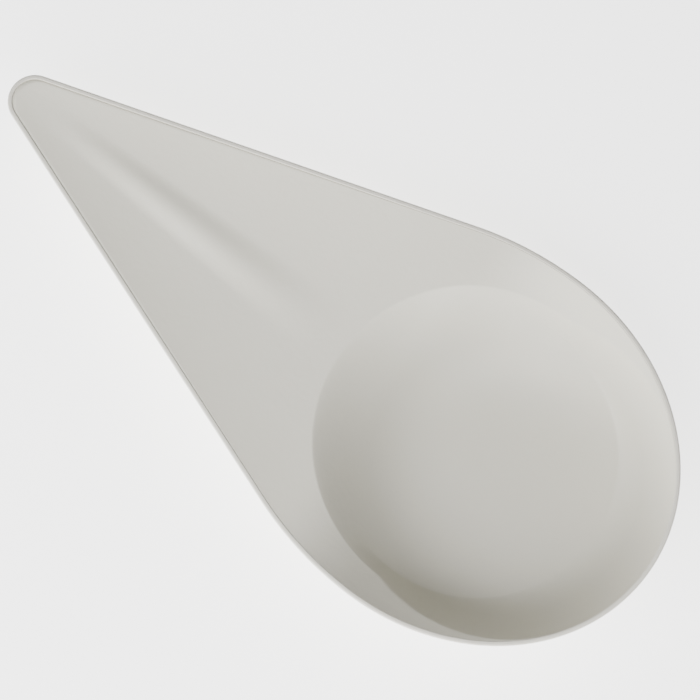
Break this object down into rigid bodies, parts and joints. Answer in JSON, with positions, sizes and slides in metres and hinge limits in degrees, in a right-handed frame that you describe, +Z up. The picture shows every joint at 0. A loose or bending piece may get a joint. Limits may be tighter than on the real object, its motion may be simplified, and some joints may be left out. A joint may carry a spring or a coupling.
{
  "type": "bedpan",
  "caption": "Teardrop-shaped bedpan: a round well with sloping walls at one end, a dished neck with a stiffening ridge narrowing to a rounded grip tip, and a rounded rim bead all round.",
  "frame": {"origin": "centre of the round pad under the middle of the well, level with the bottom of the foot ring", "axes": "+Z up out of the well, +X from the grip tip towards the bowl end, +Y across the pan"},
  "size_m": [0.5, 0.2422, 0.056],
  "materials": {
    "shell": "satin",
    "rim": "satin"
  },
  "bodies": {
    "root": {"pan_shell": "shell", "rim_bead": "rim"}
  },
  "joints": []
}
